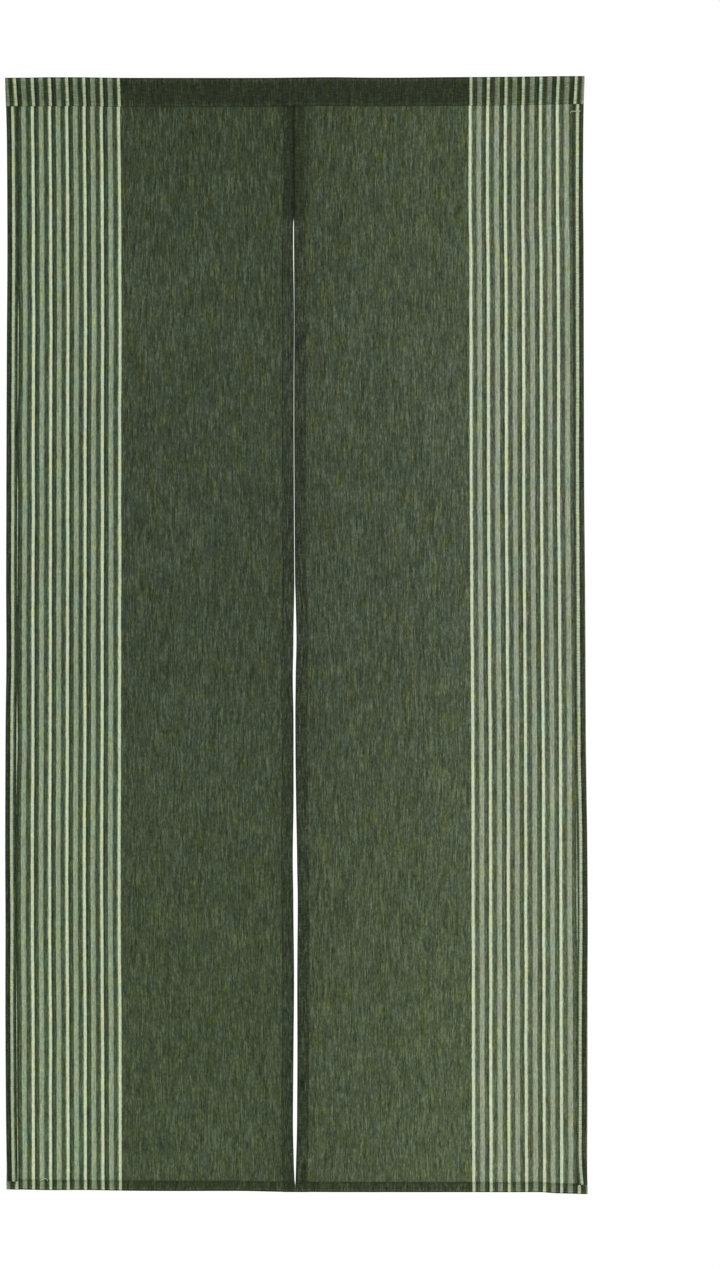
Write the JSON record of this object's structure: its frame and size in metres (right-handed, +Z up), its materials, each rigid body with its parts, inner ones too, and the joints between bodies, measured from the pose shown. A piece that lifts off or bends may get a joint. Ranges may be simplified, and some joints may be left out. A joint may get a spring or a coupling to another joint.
{
  "type": "noren curtain",
  "caption": "Noren door curtain of dark green woven cotton with pale stripes down both outer sides: paired panels, a rod pocket along the top and an open slit up the middle",
  "frame": {"origin": "On the top edge of the curtain, where the two panels meet, midway through the depth of the rod pocket", "axes": "+X along the top edge, to the right of a viewer who faces the front; +Y from the front of the cloth to its back; +Z up"},
  "size_m": [0.8888, 0.0131, 1.7059],
  "materials": {
    "striped_cotton": "matt slubbed plain weave"
  },
  "bodies": {
    "root": {"heading_left": "striped_cotton", "heading_right": "striped_cotton", "panel_left": "striped_cotton", "panel_right": "striped_cotton"}
  },
  "joints": []
}
